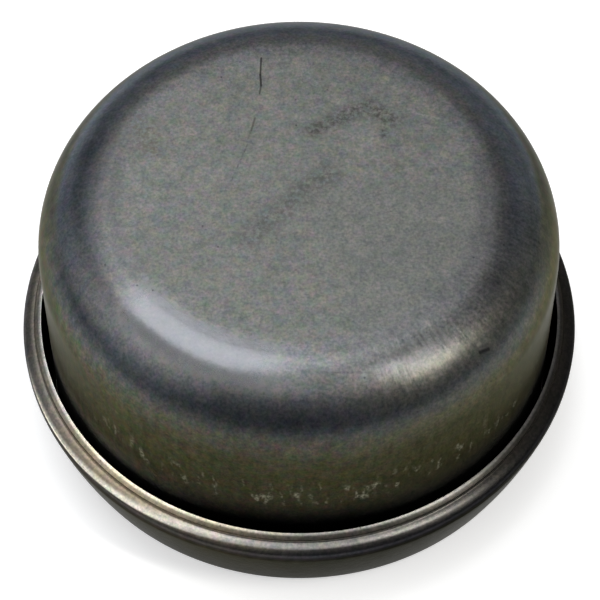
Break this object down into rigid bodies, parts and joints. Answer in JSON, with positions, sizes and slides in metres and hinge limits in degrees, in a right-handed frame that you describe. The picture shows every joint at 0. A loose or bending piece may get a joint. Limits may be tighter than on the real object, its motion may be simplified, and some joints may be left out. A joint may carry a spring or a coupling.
{
  "type": "hub grease cap",
  "caption": "Drawn steel grease cap for a wheel hub: a round cup with a flat top, and a folded-back collar that presses into the hub.",
  "frame": {"origin": "centre of the circle on which the folded rim stands", "axes": "+Z along the cap's axis, from the open rim towards the flat top"},
  "size_m": [0.0544, 0.0544, 0.0278],
  "materials": {
    "drawn_steel": "bare drawn steel, dull grey and faintly oily, with fine grain, draw marks and handling scratches"
  },
  "bodies": {
    "root": {"grease_cap": "drawn_steel"}
  },
  "joints": []
}
